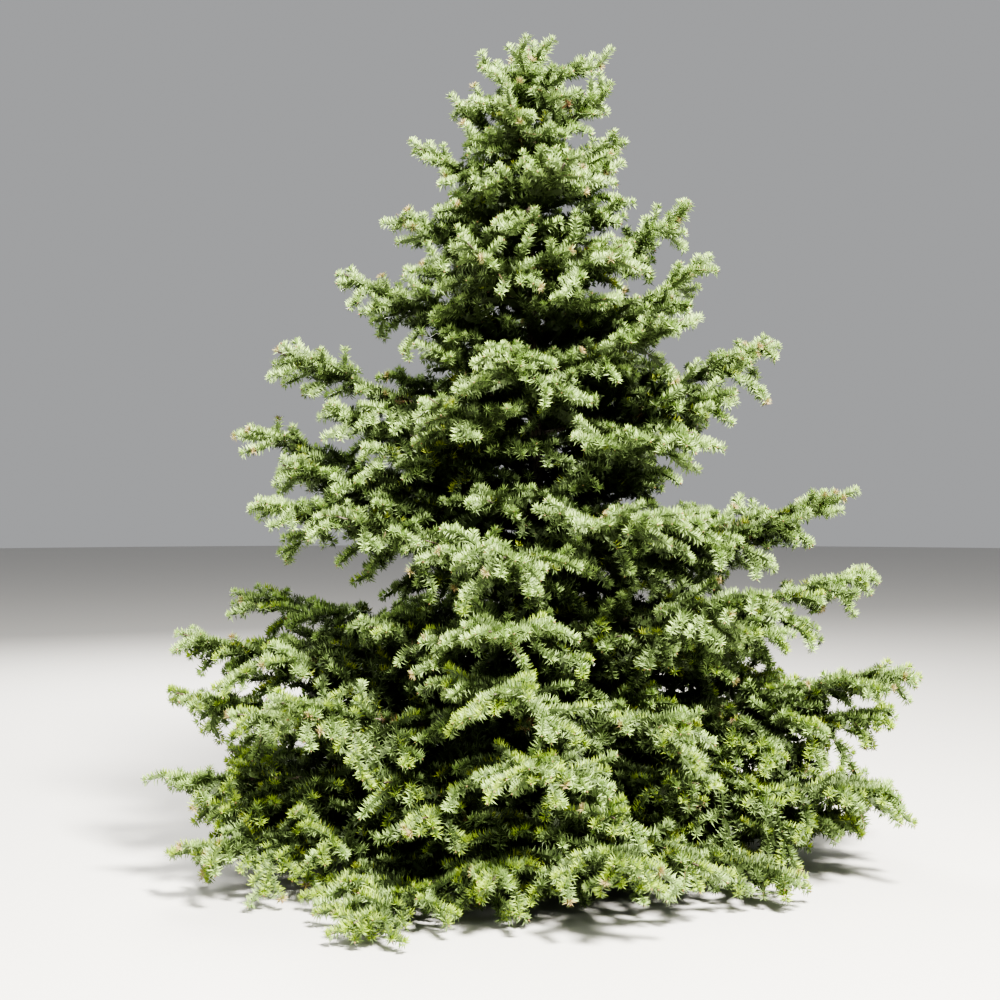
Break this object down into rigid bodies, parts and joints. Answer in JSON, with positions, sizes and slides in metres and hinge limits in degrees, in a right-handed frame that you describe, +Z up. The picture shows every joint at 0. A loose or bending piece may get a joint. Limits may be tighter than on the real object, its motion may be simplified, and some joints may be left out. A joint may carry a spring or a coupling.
{
  "type": "white spruce tree",
  "caption": "Young rooted conifer with a whole tapering trunk, whorls of boughs down to the ground and needle foliage in separate masses.",
  "frame": {"origin": "centre of the trunk's flat cut at ground level", "axes": "+Z up along the trunk, -Y towards the side seen in the picture, +X to its right"},
  "size_m": [3.2384, 3.1994, 3.6165],
  "materials": {
    "bark": "rough grey-brown bark",
    "needles": "matte silvery green needles"
  },
  "bodies": {
    "root": {"bough_hip_2": "bark", "bough_hip_4": "bark", "bough_hip_5": "bark", "bough_hip_6": "bark", "bough_hip_7": "bark", "foliage_belly_1": "needles", "foliage_belly_2": "needles", "foliage_belly_3": "needles", "foliage_belly_4": "needles", "foliage_belly_5": "needles", "foliage_high_1": "needles", "foliage_high_2": "needles", "foliage_high_3": "needles", "foliage_high_4": "needles", "foliage_high_5": "needles", "foliage_hip_1": "needles", "foliage_hip_2": "needles", "foliage_hip_3": "needles", "foliage_hip_4": "needles", "foliage_hip_5": "needles", "foliage_hip_6": "needles", "foliage_hip_7": "needles", "foliage_leader": "needles", "foliage_low_1": "needles", "foliage_low_2": "needles", "foliage_low_3": "needles", "foliage_low_4": "needles", "foliage_mid_high_1": "needles", "foliage_mid_high_2": "needles", "foliage_mid_high_3": "needles", "foliage_mid_high_4": "needles", "foliage_mid_high_5": "needles", "foliage_middle_1": "needles", "foliage_middle_2": "needles", "foliage_middle_3": "needles", "foliage_middle_4": "needles", "foliage_middle_5": "needles", "foliage_middle_6": "needles", "foliage_shoulder_1": "needles", "foliage_shoulder_2": "needles", "foliage_shoulder_3": "needles", "foliage_shoulder_4": "needles", "foliage_skirt_1": "needles", "foliage_skirt_2": "needles", "foliage_skirt_3": "needles", "foliage_skirt_4": "needles", "foliage_skirt_5": "needles", "foliage_skirt_6": "needles", "foliage_upper_1": "needles", "foliage_upper_2": "needles", "foliage_upper_3": "needles", "foliage_upper_4": "needles", "foliage_waist_1": "needles", "foliage_waist_2": "needles", "foliage_waist_3": "needles", "foliage_waist_4": "needles", "foliage_waist_5": "needles", "foliage_waist_6": "needles", "foliage_waist_7": "needles", "trunk": "bark"}
  },
  "joints": []
}
